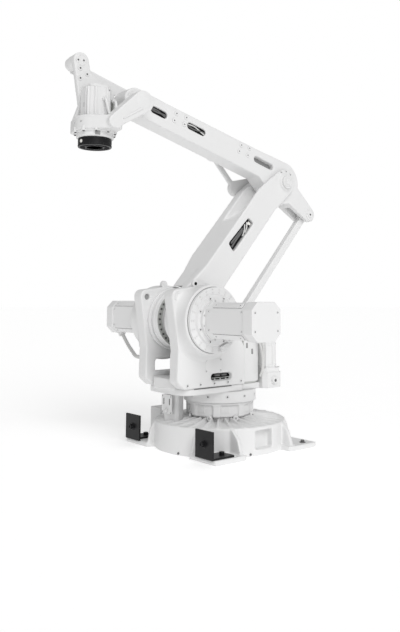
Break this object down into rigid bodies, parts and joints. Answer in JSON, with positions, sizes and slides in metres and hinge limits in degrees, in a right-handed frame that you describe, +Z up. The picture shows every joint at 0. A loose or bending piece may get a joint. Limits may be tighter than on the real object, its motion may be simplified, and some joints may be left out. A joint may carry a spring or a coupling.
{
  "type": "palletising robot arm",
  "caption": "Floor-standing white four-axis palletising robot arm with parallelogram links, levelled wrist and a turning tool disc.",
  "frame": {"origin": "on the floor, on the upright axis that the robot turns about", "axes": "+X forward towards the wrist, +Y the robot's left side, +Z up"},
  "size_m": [1.9979, 1.536, 2.4604],
  "materials": {
    "white_paint": "satin white paint",
    "black_paint": "satin black paint",
    "steel": "machined",
    "grey_paint": "satin light grey paint",
    "cable_jacket": "matte light grey"
  },
  "bodies": {
    "base": {"base_casting": "white_paint", "base_neck": "white_paint", "connection_box": "white_paint", "cable_riser": "white_paint", "fork_bracket_left": "black_paint", "fork_bracket_right": "black_paint"},
    "swivel": {"slewing_ring": "white_paint", "frame_bottom": "white_paint", "side_housing_left": "white_paint", "side_housing_right": "white_paint", "gearbox_left": "white_paint", "gearbox_right": "white_paint", "motor_adapter_left": "white_paint", "motor_adapter_right": "white_paint", "motor_cover_left": "white_paint", "motor_cover_right": "white_paint", "axis_1_motor": "white_paint", "axis_1_motor_mount": "white_paint", "rear_cover": "grey_paint", "cable_gland_motor": "white_paint", "cable_gland_frame": "white_paint", "motor_cable": "cable_jacket"},
    "lower_arm": {"lower_arm_casting": "white_paint", "elbow_cap": "white_paint"},
    "crank": {"drive_crank": "white_paint"},
    "elbow_link": {"elbow_link": "white_paint"},
    "upper_arm": {"upper_arm_casting": "white_paint"},
    "rod_pin": {"rod_pin": "steel"},
    "drive_rod": {"drive_rod": "white_paint"},
    "guide_rod_lower": {"guide_rod_lower": "white_paint"},
    "guide_rod_upper": {"guide_rod_upper": "white_paint"},
    "wrist": {"wrist_frame": "white_paint", "wrist_cheek": "white_paint", "wrist_motor_box": "white_paint"},
    "tool_disc": {"turning_disc": "black_paint"}
  },
  "joints": [
    {"name": "axis_1", "type": "hinge", "parent": "base", "child": "swivel", "pos_m": [0, 0, 0], "axis": [0, 0, 1], "range_deg": [-180, 180]},
    {"name": "axis_2", "type": "hinge", "parent": "swivel", "child": "lower_arm", "pos_m": [0.3, 0, 0.815], "axis": [0, 1, 0], "range_deg": [-1, 71]},
    {"name": "elbow_link_pivot", "type": "hinge", "parent": "lower_arm", "child": "elbow_link", "pos_m": [-0.53976, 0, 1.78103], "axis": [0, 1, 0], "range_deg": [-71, 1]},
    {"name": "axis_3", "type": "hinge", "parent": "elbow_link", "child": "upper_arm", "pos_m": [-0.53976, 0, 1.78103], "axis": [0, 1, 0], "range_deg": [-5, 43]},
    {"name": "crank_pivot", "type": "hinge", "parent": "swivel", "child": "crank", "pos_m": [0.3, 0, 0.815], "axis": [0, 1, 0], "range_deg": [-5, 43]},
    {"name": "rod_pin_pivot", "type": "hinge", "parent": "upper_arm", "child": "rod_pin", "pos_m": [-0.82327, 0, 1.56738], "axis": [0, 1, 0], "range_deg": [-43, 5]},
    {"name": "drive_rod_pivot", "type": "hinge", "parent": "rod_pin", "child": "drive_rod", "pos_m": [-0.82327, 0, 1.56738], "axis": [0, 1, 0], "range_deg": [-1, 71]},
    {"name": "guide_rod_lower_pivot", "type": "hinge", "parent": "swivel", "child": "guide_rod_lower", "pos_m": [0, 0, 0.875], "axis": [0, 1, 0], "range_deg": [-1, 71]},
    {"name": "guide_rod_upper_pivot", "type": "hinge", "parent": "elbow_link", "child": "guide_rod_upper", "pos_m": [-0.26976, 0, 2.05903], "axis": [0, 1, 0], "range_deg": [-5, 43]},
    {"name": "wrist_pivot", "type": "hinge", "parent": "upper_arm", "child": "wrist", "pos_m": [0.76424, 0, 2.13043], "axis": [0, 1, 0], "range_deg": [-43, 5]},
    {"name": "axis_6", "type": "hinge", "parent": "wrist", "child": "tool_disc", "pos_m": [0.98424, 0, 1.84543], "axis": [0, 0, 1], "range_deg": [-300, 300]}
  ],
  "couplings": [
    {"joint": "elbow_link_pivot", "follows": "axis_2", "ratio": -1},
    {"joint": "crank_pivot", "follows": "axis_3", "ratio": 1},
    {"joint": "rod_pin_pivot", "follows": "axis_3", "ratio": -1},
    {"joint": "drive_rod_pivot", "follows": "axis_2", "ratio": 1},
    {"joint": "guide_rod_lower_pivot", "follows": "axis_2", "ratio": 1},
    {"joint": "guide_rod_upper_pivot", "follows": "axis_3", "ratio": 1},
    {"joint": "wrist_pivot", "follows": "axis_3", "ratio": -1}
  ]
}
